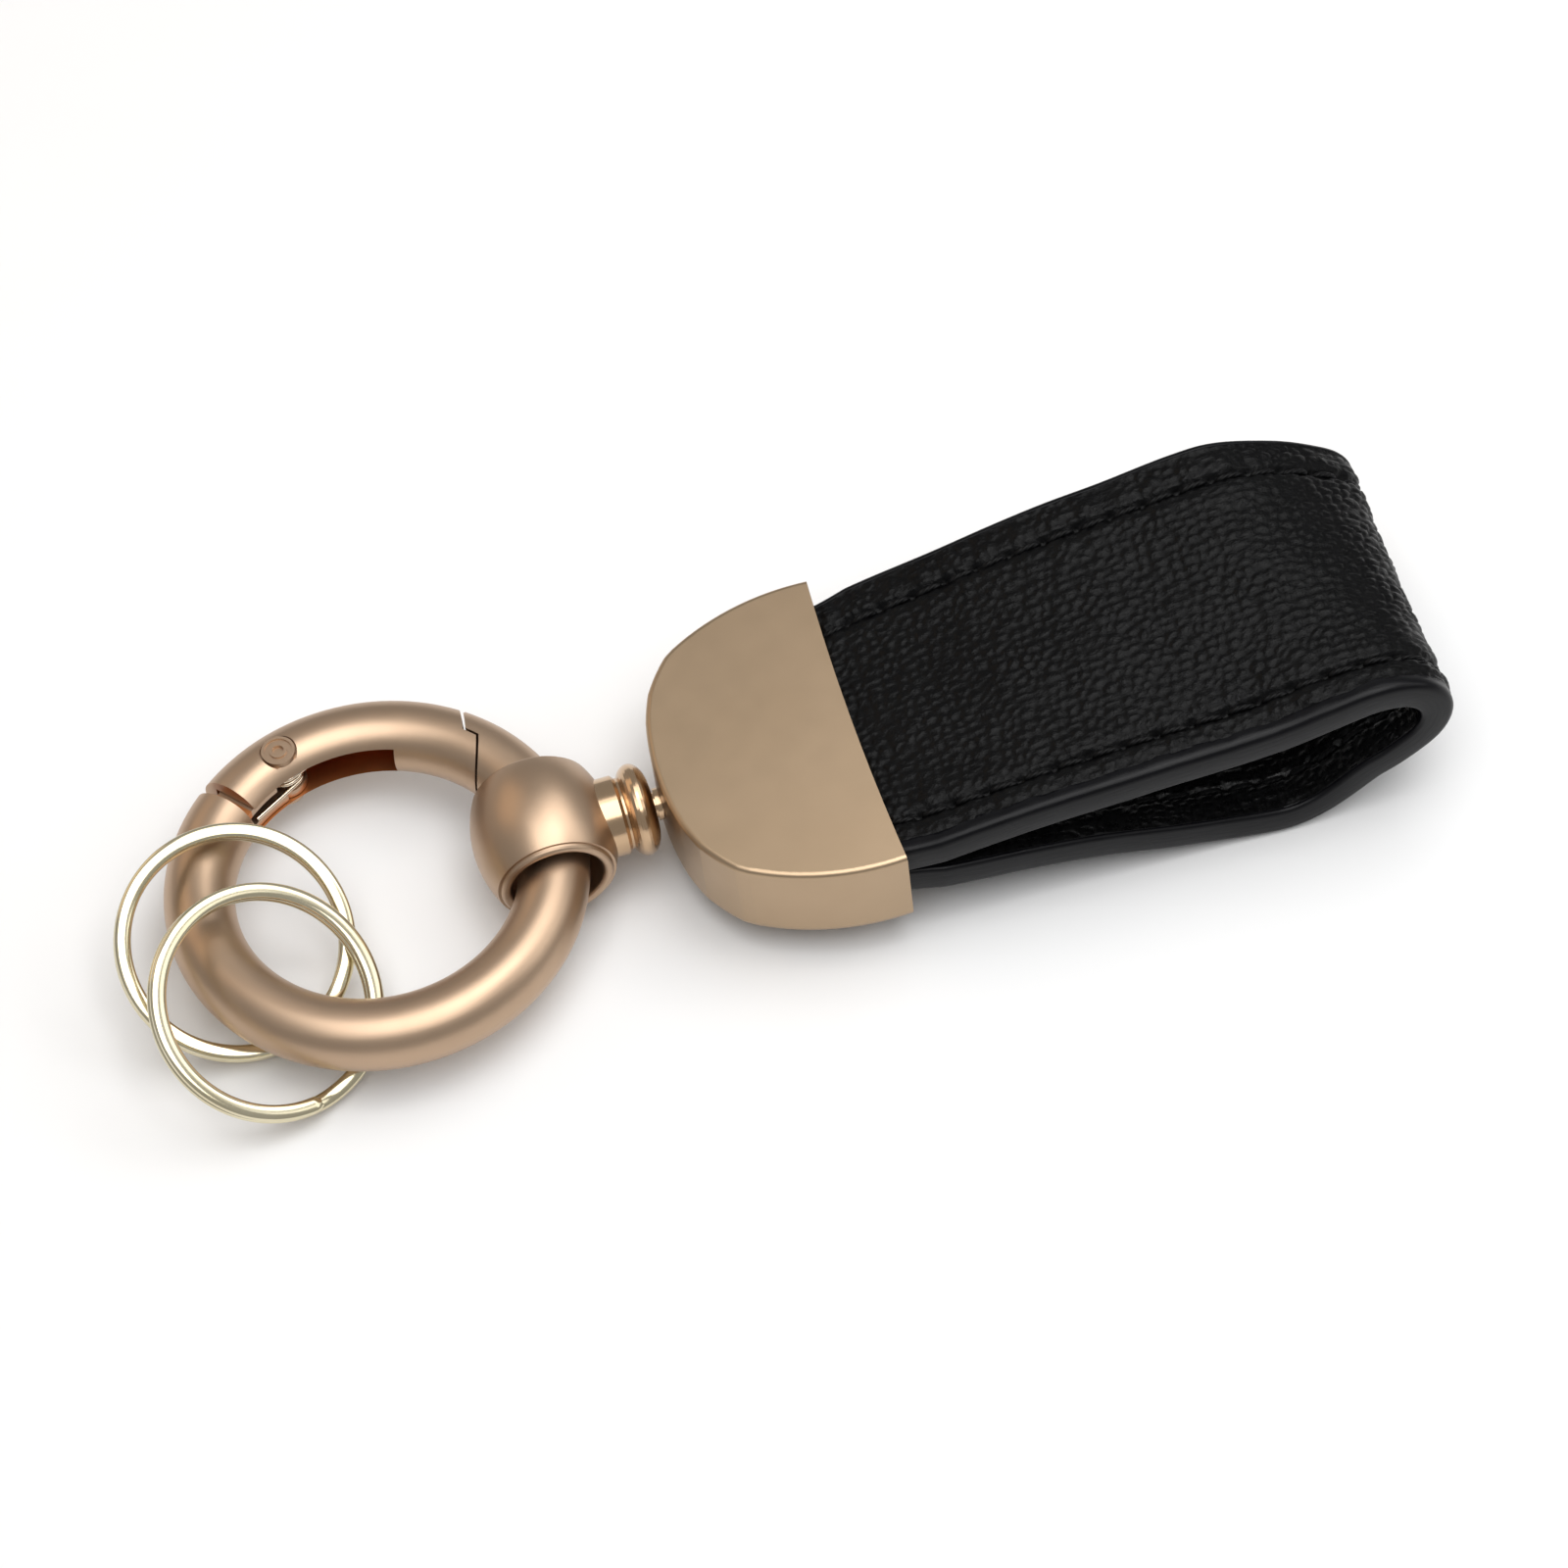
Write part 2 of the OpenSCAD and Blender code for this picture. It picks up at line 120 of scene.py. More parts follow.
# Where the leathers end on the near and far side; the edge paint laps a little over them
OUTER_EDGES = (-12.85, 13.65)
LINING_EDGES = (-13.65, 13.65)
STITCH_Y = 10.5
STITCH_PITCH = 3
STITCH_LENGTH = 2.5
STITCH_START = 3.2
THREAD_R = 0.26
# Size of a pebble of the grain, how much longer it is along the strap, and the mesh's spacing
PEBBLE = 0.88
PEBBLE_STRETCH = 1.3
GRID = 0.22


# ---- Meshes ----

def piece(name, points, faces, body, material, smooth_angle):
    """A mesh that is smooth except where its faces meet at more than that angle.

    It rides on a body, unless that is None.
    """
    mesh = bpy.data.meshes.new(name)
    mesh.from_pydata([tuple(p) for p in points], [], faces)
    mesh.materials.append(material)
    mesh.shade_smooth()
    mesh.set_sharp_from_angle(angle=math.radians(smooth_angle))
    obj = bpy.data.objects.new(name, mesh)
    bpy.context.scene.collection.objects.link(obj)
    if body:
        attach(obj, body)
    return obj


def loft(loops):
    """Points and faces of a closed body through loops of points that all have the same length."""
    rows, around = len(loops), len(loops[0])
    faces = [
        (i * around + k, i * around + (k + 1) % around,
         (i + 1) * around + (k + 1) % around, (i + 1) * around + k)
        for i in range(rows - 1) for k in range(around)
    ]
    faces.append(tuple(reversed(range(around))))
    faces.append(tuple((rows - 1) * around + k for k in range(around)))
    return np.reshape(loops, (-1, 3)), faces


def joined(parts):
    """Several (points, faces) as one."""
    points, faces, count = [], [], 0
    for part_points, part_faces in parts:
        points.append(part_points)
        faces += [tuple(v + count for v in f) for f in part_faces]
        count += len(part_points)
    return np.concatenate(points), faces


def tube(path, radii, sides, up):
    """A round wire along a path, with a radius at each point; up is never along the path."""
    path = np.asarray(path, float)
    along = np.gradient(path, axis=0)
    along /= np.linalg.norm(along, axis=1)[:, None]
    side = np.cross(np.asarray(up, float), along)
    side /= np.linalg.norm(side, axis=1)[:, None]
    over = np.cross(along, side)
    angle = np.linspace(0, 2 * np.pi, sides, endpoint=False)
    across = np.cos(angle)[None, :, None] * side[:, None]
    ring = across + np.sin(angle)[None, :, None] * over[:, None]
    return loft(path[:, None] + np.asarray(radii, float).reshape(-1, 1, 1) * ring)


def axes_at(origin, x, z):
    """The matrix of a frame at that origin with that x axis, and a z axis as near as can be."""
    x = Vector(x).normalized()
    y = Vector(z).cross(x).normalized()
    m = Matrix((x, y, x.cross(y))).transposed().to_4x4()
    m.translation = Vector(origin)
    return m


def direction(azimuth, elevation):
    """Unit vector from the object to something at that azimuth and elevation, in degrees."""
    a, e = math.radians(azimuth), math.radians(elevation)
    return Vector((math.sin(a) * math.cos(e), -math.cos(a) * math.cos(e), math.sin(e)))


def moved(matrix, points):
    """Points in millimetres in a local frame, as points in metres in the row frame."""
    m = np.array(matrix)
    return np.asarray(points, float) * MM @ m[:3, :3].T + m[:3, 3]


# ---- Shaders ----

class Shader:
    """A material's node tree, with short calls for the nodes that these materials use."""

    def __init__(self, name):
        self.material = bpy.data.materials.new(name)
        self.material.use_nodes = True
        self.tree = self.material.node_tree
        self.surface = self.tree.nodes["Principled BSDF"]
        self.place = self.node("ShaderNodeTexCoord").outputs["Object"]

    def node(self, kind, **settings):
        made = self.tree.nodes.new(kind)
        for key, value in settings.items():
            setattr(made, key, value)
        return made

    def link(self, source, target):
        self.tree.links.new(source, target)

    def attribute(self, name):
        return self.node("ShaderNodeAttribute", attribute_name=name).outputs["Vector"]

    def stretched(self, vector, scale):
        mapping = self.node("ShaderNodeMapping")
        mapping.inputs["Scale"].default_value = scale
        self.link(vector, mapping.inputs["Vector"])
        return mapping.outputs["Vector"]

    def noise(self, scale, detail, vector=None):
        made = self.node("ShaderNodeTexNoise")
        made.inputs["Scale"].default_value = scale
        made.inputs["Detail"].default_value = detail
        self.link(vector or self.place, made.inputs["Vector"])
        return made.outputs["Fac"]

    def spread(self, value, low, high, to_low=0.0, to_high=1.0):
        made = self.node("ShaderNodeMapRange", clamp=True)
        for key, number in zip(("From Min", "From Max", "To Min", "To Max"),
                               (low, high, to_low, to_high)):
            made.inputs[key].default_value = number
        self.link(value, made.inputs["Value"])
        return made.outputs["Result"]

    def blend(self, factor, a, b):
        made = self.node("ShaderNodeMix", data_type="RGBA")
        made.inputs["A"].default_value = (*a, 1)
        made.inputs["B"].default_value = (*b, 1)
        self.link(factor, made.inputs["Factor"])
        return made.outputs["Result"]

    def bump(self, height, distance, strength):
        made = self.node("ShaderNodeBump")
        made.inputs["Distance"].default_value = distance
        made.inputs["Strength"].default_value = strength
        self.link(height, made.inputs["Height"])
        return made.outputs["Normal"]

    def finish(self, colour, roughness, normal=None, metallic=0.0, specular=0.5):
        self.link(colour, self.surface.inputs["Base Color"])
        self.link(roughness, self.surface.inputs["Roughness"])
        if normal:
            self.link(normal, self.surface.inputs["Normal"])
        self.surface.inputs["Metallic"].default_value = metallic
        self.surface.inputs["Specular IOR Level"].default_value = specular
        return self.material


def plated_metal(name, colour, worn, roughness, grain=0.0):
    """Plated metal: a faint cloudiness in colour and gloss, and for satin a fine blasted grain."""
    s = Shader(name)
    cloud = s.spread(s.noise(140, 4), 0.35, 0.65)
    tone = s.blend(cloud, colour, worn)
    gloss = s.spread(s.noise(420, 5), 0.3, 0.7, roughness * 0.96, roughness * 1.04)
    normal = s.bump(s.noise(9000, 2), 0.00002, grain) if grain else None
    return s.finish(tone, gloss, normal, metallic=1.0)


def leather(name, colour, light, roughness, specular, depth):
    """Leather whose pebbles are glossier than its creases, with fine wrinkles over them."""
    s = Shader(name)
    strap = s.attribute("strap")
    grain = s.node("ShaderNodeAttribute", attribute_name="grain").outputs["Fac"]
    tone = s.blend(s.spread(s.noise(0.35, 4, strap), 0.35, 0.7), colour, light)
    gloss = s.spread(grain, 0.1, 0.9, roughness * 1.5, roughness * 0.9)
    normal = s.bump(s.noise(1.0, 2, s.stretched(strap, (2.6, 3.4, 1))), 0.00009, depth)
    return s.finish(tone, gloss, normal, specular=specular)


def edge_paint(name):
    """The sealed edge: smooth, a little uneven, with faint lines along it."""
    s = Shader(name)
    strap = s.attribute("strap")
    patches = s.spread(s.noise(0.4, 3, strap), 0.3, 0.7)
    tone = s.blend(patches, (0.0012, 0.0012, 0.002), (0.0024, 0.0024, 0.0034))
    lines = s.noise(1.0, 3, s.stretched(strap, (0.5, 3.5, 3.5)))
    gloss = s.spread(lines, 0.3, 0.7, 0.27, 0.38)
    return s.finish(tone, gloss, s.bump(lines, 0.00006, 0.3), specular=0.17)


def thread(name):
    """Waxed thread with its twist."""
    s = Shader(name)
    twist = s.node("ShaderNodeTexWave", bands_direction="DIAGONAL")
    twist.inputs["Scale"].default_value = 1.1
    twist.inputs["Distortion"].default_value = 0.6
    s.link(s.attribute("thread"), twist.inputs["Vector"])
    tone = s.blend(twist.outputs["Fac"], (0.002, 0.002, 0.0022), (0.004, 0.004, 0.0045))
    gloss = s.spread(twist.outputs["Fac"], 0, 1, 0.62, 0.45)
    return s.finish(tone, gloss, s.bump(twist.outputs["Fac"], 0.00006, 0.7), specular=0.15)


def fibre_board(name):
    """Brown board with fibres along the strap."""
    s = Shader(name)
    fibres = s.noise(1.0, 6, s.stretched(s.attribute("strap"), (0.6, 4, 4)))
    tone = s.blend(fibres, (0.13, 0.09, 0.06), (0.24, 0.18, 0.13))
    return s.finish(tone, s.spread(fibres, 0, 1, 0.7, 0.9), s.bump(fibres, 0.00008, 0.6))


def floor_paper(name):
    """Matt white paper, very slightly uneven."""
    s = Shader(name)
    tone = s.blend(s.noise(60, 4), (0.82, 0.82, 0.82), (0.84, 0.84, 0.84))
    return s.finish(tone, s.spread(s.noise(900, 2), 0, 1, 0.75, 0.85))


SATIN = plated_metal("satin_gold", (0.49, 0.352, 0.246), (0.48, 0.343, 0.237), 0.39, 0.12)
# The cap's satin gold: its more olive hue is the cap's own, and its darker tone than the ring's satin is painted
# shade
CAP_SATIN_SHADED = plated_metal("cap_satin_gold_shaded", (0.445, 0.326, 0.214), (0.43, 0.314, 0.204), 0.37, 0.12)
POLISHED = plated_metal("polished_gold", (0.58, 0.41, 0.26), (0.56, 0.39, 0.245), 0.18)
PALE = plated_metal("pale_gold", (0.75, 0.68, 0.49), (0.68, 0.61, 0.42), 0.16)
# Coppery colour painted into the hollows, standing in for warm light reflected about inside them
PAINTED_HOLLOW_REFLECTION = plated_metal("painted_hollow_reflection", (0.55, 0.22, 0.08), (0.48, 0.18, 0.06), 0.42, 0.1)
STEEL = plated_metal("steel", (0.62, 0.60, 0.57), (0.52, 0.50, 0.48), 0.22)
SPRING = plated_metal("spring_wire", (0.80, 0.70, 0.56), (0.70, 0.60, 0.46), 0.16)
OUTER_LEATHER = leather("pebbled_leather", (0.0014, 0.0014, 0.0016), (0.0024, 0.0024, 0.0026),
                        0.34, 0.1, 0.85)
LINING_LEATHER = leather("lining_leather", (0.0016, 0.0016, 0.0018), (0.0028, 0.0028, 0.003),
                         0.28, 0.3, 0.5)
EDGE = edge_paint("edge_paint")
THREAD = thread("waxed_thread")
BOARD = fibre_board("core_board")


# ---- Strap ----

def smooth_curve(points, steps):
    """A smooth curve through points."""
    p = np.array(points, float)
    p = np.concatenate([p[:1], p, p[-1:]])
    u = np.linspace(0, 1, steps, endpoint=False)[:, None]
    out = [
        0.5 * (2 * b + (c - a) * u + (2 * a - 5 * b + 4 * c - d) * u**2
               + (3 * b - a - 3 * c + d) * u**3)
        for a, b, c, d in zip(p, p[1:], p[2:], p[3:])
    ]
    return np.concatenate([*out, p[-1:]])


def even_points(line, count):
    """The same line with points at even distances, and its length."""
    run = np.concatenate([[0], np.cumsum(np.linalg.norm(np.diff(line, axis=0), axis=1))])
    at = np.linspace(0, run[-1], count)
    return np.stack([np.interp(at, run, line[:, k]) for k in (0, 1)], axis=1), run[-1]


def softened(line, width):
    """The line with its bends eased over that many points."""
    weights = np.hanning(width + 2)[1:-1]
    weights = weights / weights.sum()
    start, end = (np.repeat(point, width // 2, 0) for point in (line[:1], line[-1:]))
    padded = np.concatenate([start, line, end])
    return np.stack([np.convolve(padded[:, k], weights, "valid") for k in (0, 1)], axis=1)


def outward(line):
    """Unit vectors square to the line, out of the loop."""
    d = np.gradient(line, axis=0)
    d /= np.linalg.norm(d, axis=1)[:, None]
    return np.stack([-d[:, 1], d[:, 0]], axis=1)


class Strap:
    """Turns the strap's own coordinates into places. Its two edges follow different profiles."""

    def __init__(self, stations):
        steps, samples, soft = 12, 600, 9
        curves = [even_points(smooth_curve(p, steps), samples)[0] for p in (NEAR_PROFILE, FAR_PROFILE)]
        lines = [even_points(softened(curve, soft), stations) for curve in curves]
        (self.near, near_length), (self.far, far_length) = lines
        self.length = (near_length + far_length) / 2
        self.along = np.linspace(0, self.length, stations)
        self.out = [outward(self.near), outward(self.far)]
        joint = joints["swivel_turn"]
        self.axes = axes_at(joint["pos_m"], joint["axis"], (0, 0, 1))
        x = (self.near[:, 0] + self.far[:, 0]) / 2
        # The strap is a little narrower where the cap holds it, and widens over 3 mm outside
        self.width = 0.97 + 0.03 * np.clip((x - CAP_MOUTH - 0.3) / 3, 0, 1)

    def places(self, across, out, along=None):
        """Metres in the row frame for arrays of across and out, one row for each station or along."""
        at = self.along if along is None else np.asarray(along, float)
        near, far, out_near, out_far = (
            np.stack([np.interp(at, self.along, line[:, k]) for k in (0, 1)], axis=1)[:, None]
            for line in (self.near, self.far, *self.out)
        )
        share = ((np.asarray(across) + HALF_W) / (2 * HALF_W))[..., None]
        normal = out_near * (1 - share) + out_far * share
        normal /= np.linalg.norm(normal, axis=2, keepdims=True)
        flat = near * (1 - share) + far * share + normal * np.asarray(out)[..., None]
        y = across * np.interp(at, self.along, self.width)[:, None]
        local = np.stack([flat[..., 0], y, flat[..., 1]], axis=2)
        return moved(self.axes, local.reshape(-1, 3)).reshape(local.shape)


def wander(x, y, size, seed):
    """Smooth random heights, mostly between -1 and 1, with that size of feature, for arrays x and y."""
    rng = np.random.default_rng(seed)
    total = np.zeros(np.broadcast(x, y).shape)
    waves = 9
    for _ in range(waves):
        angle, phase = rng.uniform(0, 2 * np.pi, 2)
        rate = 2 * np.pi / (size * rng.uniform(0.7, 1.5))
        total = total + np.sin(rate * (x * np.cos(angle) + y * np.sin(angle)) + phase)
    return total / (waves / 2)


def pebbles(x, y, size, stretch, seed):
    """Heights of leather grain between 0 in the creases and 1 on the pebbles.

    Each cell of a grid has one pebble's middle in it, and a crease runs where two are as near.
    """
    rng = np.random.default_rng(seed)
    margin = 2
    crease_width = 0.5
    doming = 0.55
    u, v = x / (size * stretch), y / size
    u0, v0 = np.floor(u).astype(int), np.floor(v).astype(int)
    wide, high = (n.max() - n.min() + 2 * margin + 1 for n in (u0, v0))
    spots = rng.uniform(0.12, 0.88, (wide, high, 2))
    near = np.full((2, *u.shape), 9.0)
    for i in (-1, 0, 1):
        for j in (-1, 0, 1):
            cu, cv = u0 + i, v0 + j
            spot = spots[cu - u0.min() + margin, cv - v0.min() + margin]
            d = np.hypot(cu + spot[..., 0] - u, cv + spot[..., 1] - v)
            near = np.sort(np.stack([near[0], near[1], d]), axis=0)[:2]
    gap = np.clip((near[1] - near[0]) / crease_width, 0, 1)
    return gap * (2 - gap) * (1 - doming * near[0] ** 2)


def stitch_centres(strap):
    """Length along the strap of each stitch, from one side of the cap's mouth to the other."""
    count = int((strap.length - 2 * STITCH_START) / STITCH_PITCH)
    start = (strap.length - count * STITCH_PITCH) / 2
    return start + STITCH_PITCH * np.arange(count + 1)


def leather_relief(strap, across, seed, grain, padding, sunk):
    """How far the leather stands above its plain surface, and the pebbles' own heights.

    The surface has a channel with a hole between any two stitches, padding on both sides of it
    that puffs up beside each stitch, slow unevenness, and the grain.
    """
    s, y = np.meshgrid(strap.along, across, indexing="ij")
    from_row = np.abs(y) - STITCH_Y
    phase = (s - stitch_centres(strap)[0]) / STITCH_PITCH
    to_hole = (phase - np.floor(phase) - 0.5) * STITCH_PITCH
    channel = np.exp(-((from_row / 0.42) ** 2))
    holes = np.exp(-((to_hole / 0.4) ** 2) - (from_row / 0.38) ** 2)
    puffs = 0.6 + 0.4 * np.cos(2 * np.pi * phase)
    border = np.exp(-(((from_row - 1.35) / 0.85) ** 2))
    shoulder = np.exp(-(((from_row + 1.5) / 1.1) ** 2))
    relief = padding * puffs * (border + 0.6 * shoulder) - sunk * (0.42 * channel + 0.35 * holes)
    relief = relief + 0.10 * wander(s, y, 9, seed) + 0.045 * wander(s, y, 3.2, seed + 1)
    bumps = pebbles(s + 0.35 * wander(s, y, 2.5, seed + 2), y, PEBBLE,
                    PEBBLE_STRETCH, seed + 3)
    lumps = 1 + 0.35 * wander(s, y, 6, seed + 4)
    soft = np.clip(np.minimum(y - across[0], across[-1] - y) / 0.5, 0, 1)
    return soft * (relief + grain * lumps * (bumps - 0.75)), bumps


def strap_attribute(obj, along, across, out):
    """Gives each point its place in the strap's own millimetres, for the leather's grain."""
    values = np.stack(np.broadcast_arrays(along, across, out), axis=2).reshape(-1)
    obj.data.attributes.new("strap", "FLOAT_VECTOR", "POINT").data.foreach_set(
        "vector", values.astype(np.float32))


def strap_layer(name, strap, across, inner, outer, material, node, grain):
    """A closed layer between two heights above the strap's middle; outer and grain vary over it."""
    back = np.linspace(across[-1], across[0], 6)
    y = np.concatenate([across, back])
    flat = np.full((len(strap.along), len(back)), float(inner))
    h = np.concatenate([outer, flat], axis=1)
    grain = np.concatenate([grain, flat], axis=1)
    if inner > outer.max():
        y, h, grain = y[::-1], h[:, ::-1], grain[:, ::-1]
    grid_y = np.broadcast_to(y, h.shape)
    obj = piece(name, *loft(strap.places(grid_y, h)), "strap", material, 180)
    strap_attribute(obj, strap.along[:, None], grid_y, h)
    obj.data.attributes.new("grain", "FLOAT", "POINT").data.foreach_set(
        "value", grain.reshape(-1).astype(np.float32))
    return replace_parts(obj, node)


def make_strap():
    """Both leathers, the board between them, the sealed edges and the stitches."""
    strap = Strap(int(STRAP_LENGTH / GRID))
    across = np.linspace(*OUTER_EDGES, int(2 * HALF_W / GRID))
    relief, grain = leather_relief(strap, across, SEED, grain=0.2, padding=0.2, sunk=1)
    outer = strap_layer("leather_outer", strap, across, BOARD_TOP, HALF_T + relief,
                        OUTER_LEATHER, "strap_outer", grain)
    across = np.linspace(*LINING_EDGES, int(2 * HALF_W / GRID))
    relief, grain = leather_relief(strap, across, SEED + 20, grain=0.17, padding=0.06, sunk=0.55)
    lining = strap_layer("leather_lining", strap, across, BOARD_LOW, -HALF_T - relief,
                         LINING_LEATHER, "strap_lining", grain)
    wide = np.linspace(*LINING_EDGES, 8)
    flat = np.full((len(strap.along), len(wide)), BOARD_TOP)
    board = strap_layer("core_board", strap, wide, BOARD_LOW, flat, BOARD, "strap_core", flat)
    for side, name in ((1, "left"), (-1, "right")):
        edge_bead(strap, side, f"edge_paint_{name}", f"edge_seal_{name}")
        stitches(strap, side, f"thread_{name}", f"stitch_row_{name}")


def edge_bead(strap, side, name, node):
    """The sealed edge: a rounded side that laps a little onto both faces, with a wavy border."""
    film, overlap, border_t = 0.04, 0.25, 0.16
    proud = HALF_T + film
    corners = []
    for face, edges, corner in ((-1, LINING_EDGES, 0.4), (1, OUTER_EDGES, 0.6)):
        lap = max(side * y for y in edges) - overlap
        corner = min(corner, HALF_W - lap - 0.15)
        turn = np.radians(np.linspace(0, 90, 6))
        arc = np.stack([HALF_W - corner * (1 - np.sin(turn)),
                        proud - corner * (1 - np.cos(turn))], 1)
        border = [[lap, proud - border_t], [lap + 0.1, proud]]
        corners.append(np.concatenate([border, arc]) * [1, face])
    section = np.concatenate([corners[0], [[HALF_W + film, 0]], corners[1][::-1]])
    s = strap.along[:, None]
    slow, quick, long = (wander(s, 0 * s, size, SEED + seed + side)
                         for size, seed in ((3.5, 40), (1.2, 50), (11, 60)))
    wave = 0.16 * slow + 0.07 * quick
    bulge = 0.05 * long
    inner = np.clip((HALF_W - section[:, 0]) - 0.35, 0, 1)[None]
    y = section[None, :, 0] + wave * inner + bulge * (1 - inner)
    h = np.broadcast_to(section[None, :, 1], y.shape)
    order = slice(None) if side > 0 else slice(None, None, -1)
    y, h = side * y[:, order], h[:, order]
    obj = piece(name, *loft(strap.places(y, h)), "strap", EDGE, 70)
    strap_attribute(obj, s, y, h)
    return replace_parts(obj, node)


def stitches(strap, side, name, node):
    """Both faces' stitches: short arched threads that dive into the holes, a little aslant."""
    parts, twist = [], []
    slant, dive, arch, sides = 0.08, 0.45, 0.06, 10
    u = np.linspace(-1, 1, 9)
    for face in (1, -1):
        for centre in stitch_centres(strap):
            along = centre + u * STITCH_LENGTH / 2
            across = side * (STITCH_Y + slant * u)
            depth = 0.3 if face > 0 else 0.2
            out = face * (HALF_T - depth - dive * u**4 + arch * (1 - u * u))
            path = strap.places(across[:, None], out[:, None], along)[:, 0]
            radii = THREAD_R * MM * np.sqrt(np.clip(1.02 - u**8, 0.05, 1))
            parts.append(tube(path, radii, sides, (0, 1, 0)))
            grid = np.meshgrid(along, np.linspace(0, 2, sides, endpoint=False), indexing="ij")
            twist.append(np.stack([*grid, 0 * grid[0]], 2).reshape(-1))
    obj = piece(name, *joined(parts), "strap", THREAD, 80)
    obj.data.attributes.new("thread", "FLOAT_VECTOR", "POINT").data.foreach_set(
        "vector", np.concatenate(twist).astype(np.float32))
    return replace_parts(obj, node)


# ---- Split rings and spring ----

def split_ring(number, first_end):
    """Two turns of flat wire, with the step where it passes from the lower turn to the upper."""
    mount = mounts[f"split_ring_{number}_hole"]
    normal = Vector(mount["axis"])
    downhill = -(Vector((0, 0, 1)) - normal * normal.z).normalized()
    place = axes_at(mount["pos_m"], downhill, normal)
    # The step's length in degrees, and how far short of it the second turn ends
    step, gap = 26, 1.5
    end = 718 - step
    turn = np.concatenate([np.linspace(0, 2, 3), np.arange(4, end, 2.0), [end - gap]])
    rise = np.clip((turn - (360 - step)) / step, 0, 1)
    height = SPLIT_RISE * (2 * rise * rise * (3 - 2 * rise) - 1)
    corner = np.radians(np.arange(0, 360, 18))
    # A power below 1 makes the wire's oval section squarer
    power = 0.85
    section_r = WIRE_HALF_W * np.sign(np.cos(corner)) * np.abs(np.cos(corner)) ** power
    section_z = WIRE_HALF_H * np.sign(np.sin(corner)) * np.abs(np.sin(corner)) ** power
    angle = np.radians(turn + first_end)[:, None]
    taper = np.clip(np.minimum(turn + 2, turn[-1] - turn + 2) / 4, 0.6, 1)[:, None]
    r = SPLIT_R + section_r[None] * taper
    z = height[:, None] + section_z[None] * taper
    loops = np.stack([r * np.cos(angle), r * np.sin(angle), z], axis=2)
    points, faces = loft(loops[:, ::-1])
    obj = piece(f"split_ring_wire_{number}", moved(place, points), faces,
                f"split_ring_{number}", PALE, 50)
    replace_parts(obj, f"split_ring_{number}")
    return obj


def gate_spring():
    """The torsion spring round the gate's rivet: a coil, a leg in the ring body and one in the gate."""
    joint = joints["gate_open"]
    up = -Vector(joint["axis"])
    place = axes_at(joint["pos_m"], Vector((0, 1, 0)).cross(up), up)
    start, turns = 301.5, 716
    wire_r, coil_r, low, high = 0.2, 1.6, -0.45, 0.75
    ring_leg, gate_leg, bend = 4.8, 7.3, 4
    coil_points, leg_points = 120, 8
    angle = np.radians(start + np.linspace(0, turns, coil_points))
    height = np.linspace(low, high, coil_points)
    coil = np.stack([coil_r * np.cos(angle), coil_r * np.sin(angle), height], 1)

    def leg(end, length):
        way = np.array([-np.sin(angle[end]), np.cos(angle[end]), 0])
        return coil[end] + way * np.linspace(0, length, leg_points)[1:, None]

    path = np.concatenate([leg(0, -ring_leg)[::-1], coil, leg(-1, gate_leg)])
    radii = np.full(len(path), wire_r * MM)
    obj = piece("gate_spring_wire", *tube(moved(place, path), radii, 12, up), None, SPRING, 60)
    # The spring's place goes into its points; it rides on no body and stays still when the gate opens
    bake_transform(obj)
    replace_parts(obj, "gate_spring")
    return obj


# ---- CAD nodes ----

def paint(node, material):
    """A CAD node keeps its shape, and takes a better material and smoother shading."""
    mesh = frame["nodes"][node].data
    mesh.materials.clear()
    mesh.materials.append(material)
    mesh.attributes.remove(mesh.attributes["custom_normal"])
    mesh.shade_smooth()
    mesh.set_sharp_from_angle(angle=math.radians(CAD_SHARP_ANGLE))


def paint_hollow_reflection(node, start, end, half_h, r_end):
    """Faces inside the ring's tube turn coppery between two angles, within a height and a radius: a painted
    reflection of the warm light that bounces about inside the hollows.
    """
    mesh = frame["nodes"][node].data
    mesh.materials.append(PAINTED_HOLLOW_REFLECTION)
    ring_axis = Vector(mounts["gate_ring"]["axis"])
    along = Vector((0, 1, 0)).cross(ring_axis)
    for face in mesh.polygons:
        height = face.center.dot(ring_axis)
        flat = face.center - ring_axis * height
        angle = math.degrees(math.atan2(flat.y, flat.dot(along))) % 360
        from_tube = math.hypot(flat.length - RING_R * MM, height)
        within = abs(height) < half_h * MM and flat.length < r_end * MM
        if start < angle < end and within and from_tube < (TUBE_R - 0.07) * MM:
            face.material_index = 1


def dress_cad():
    """Every CAD node that no piece replaces gets its material."""
    for node in ("ring_body", "gate", "gate_rivet", "barrel"):
        paint(node, SATIN)
    # The cap takes the darker copy of the satin gold, with painted shade in it
    paint("end_cap", CAP_SATIN_SHADED)
    for node in ("swivel_knob", "swivel_rivet", "neck_washer"):
        paint(node, POLISHED)
    for node in ("rivet_washer", "cap_screws"):
        paint(node, STEEL)
    # Painted reflection in the gate's open channel, and in the recess in the ring body behind the gate's tail
    paint_hollow_reflection("gate", start=60, end=140, half_h=1.65, r_end=16.7)
    paint_hollow_reflection("ring_body", start=133, end=140, half_h=3, r_end=18)


# ---- Stage ----

def make_floor():
    """A sheet of paper, 3 metres each way, just under the object."""
    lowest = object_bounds()[0].z - 0.02 * MM
    reach = 3
    mesh = bpy.data.meshes.new("floor")
    corners = [(reach * x, reach * y, lowest) for x, y in ((-1, -1), (1, -1), (1, 1), (-1, 1))]
    mesh.from_pydata(corners, [], [(0, 1, 2, 3)])
    mesh.materials.append(floor_paper("pale_paper"))
    obj = bpy.data.objects.new("floor", mesh)
    bpy.context.scene.collection.objects.link(obj)


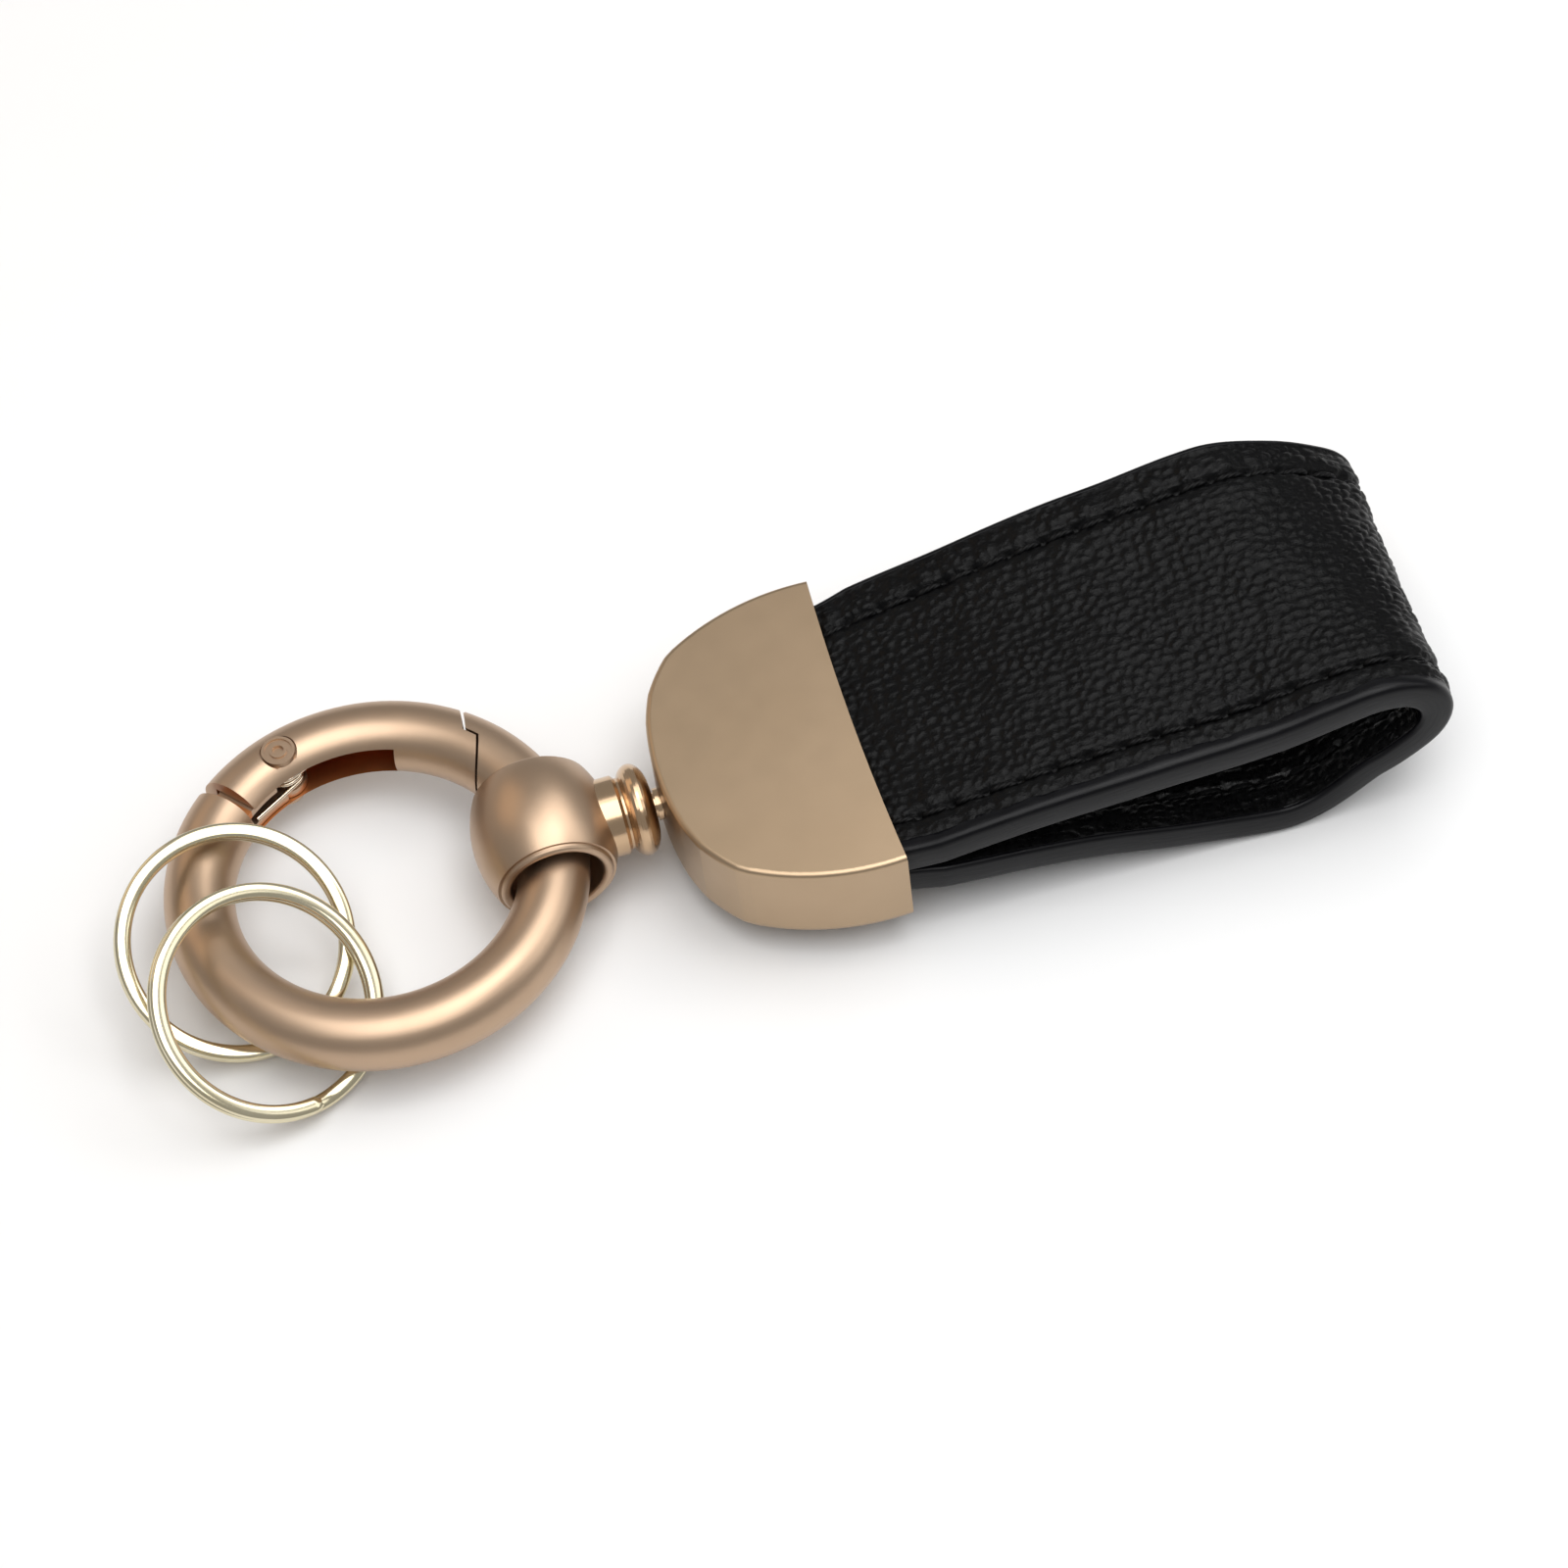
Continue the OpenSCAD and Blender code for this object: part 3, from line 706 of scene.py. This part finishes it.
def make_light(name, azimuth, elevation, distance, size, radiance, colour=(1, 1, 1)):
    """A softbox aimed at the object, placed as a camera's azimuth and elevation would be."""
    light = bpy.data.lights.new(name, "AREA")
    light.shape = "RECTANGLE"
    light.size, light.size_y = size
    light.energy = radiance * math.pi * size[0] * size[1]
    light.color = colour
    obj = bpy.data.objects.new(name, light)
    bpy.context.scene.collection.objects.link(obj)
    back = direction(azimuth, elevation)
    obj.location = Vector(CAMERA_AIM) * MM + back * distance
    obj.rotation_euler = back.to_track_quat("Z", "Y").to_euler()


def make_lights():
    """White surroundings, a large light overhead, two smaller ones and a warm card at the left."""
    world = bpy.data.worlds.new("studio")
    world.use_nodes = True
    world.node_tree.nodes["Background"].inputs["Color"].default_value = (1, 1, 1, 1)
    world.node_tree.nodes["Background"].inputs["Strength"].default_value = 0.38
    bpy.context.scene.world = world
    make_light("overhead", -13, 76, 0.7, (0.6, 0.6), 3)
    make_light("back", 116, 67, 0.3, (0.22, 0.22), 2.2)
    make_light("right", 75, 38, 0.6, (0.35, 0.3), 1.3)
    make_light("warm_card", -135, 34, 0.45, (0.3, 0.25), 0.7, (1, 0.7, 0.42))


def make_camera():
    """The camera looks down at the middle of the object, a little turned about its line of sight."""
    data = bpy.data.cameras.new("camera")
    data.lens = CAMERA_LENS
    data.sensor_width = SENSOR_WIDTH
    data.clip_start, data.clip_end = 0.01, 10
    camera = bpy.data.objects.new("camera", data)
    bpy.context.scene.collection.objects.link(camera)
    back = direction(CAMERA_AZIMUTH, CAMERA_ELEVATION)
    camera.location = Vector(CAMERA_AIM) * MM + back * CAMERA_DISTANCE * MM
    turn = Matrix.Rotation(math.radians(CAMERA_ROLL), 4, back)
    camera.rotation_euler = (turn @ back.to_track_quat("Z", "Y").to_matrix().to_4x4()).to_euler()
    bpy.context.scene.camera = camera


make_camera()
make_strap()
split_ring(1, 40)
split_ring(2, 10)
gate_spring()
dress_cad()
make_lights()
make_floor()
bpy.context.scene.view_settings.view_transform = "Standard"
